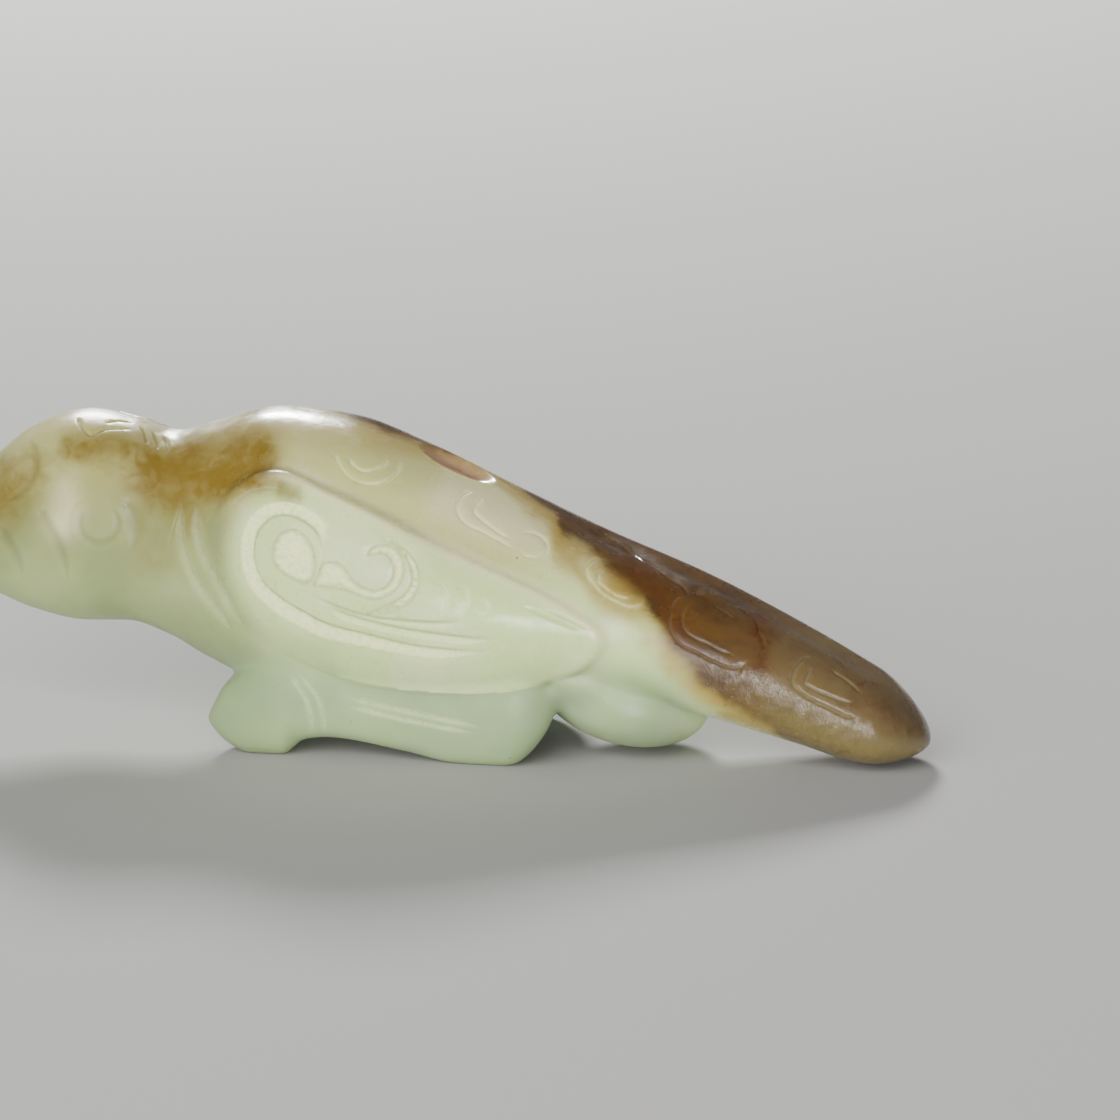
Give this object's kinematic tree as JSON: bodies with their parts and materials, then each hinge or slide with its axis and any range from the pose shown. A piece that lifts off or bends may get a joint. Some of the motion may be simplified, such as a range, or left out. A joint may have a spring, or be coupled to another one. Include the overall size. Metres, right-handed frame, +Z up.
{
  "type": "jade bird carving",
  "caption": "Small crouching bird with folded wings and a long sloping tail, carved in the round from one piece of jade.",
  "frame": {"origin": "middle of the length and width of the bird, on the surface that it rests on", "axes": "+X towards the tail tip, -X towards the beak, +Z up; -Y is the flank that the picture shows"},
  "size_m": [0.0638, 0.017, 0.0205],
  "materials": {
    "nephrite": "polished pale celadon nephrite with russet skin along the back and tail"
  },
  "bodies": {
    "root": {"bird_carving": "nephrite"}
  },
  "joints": []
}
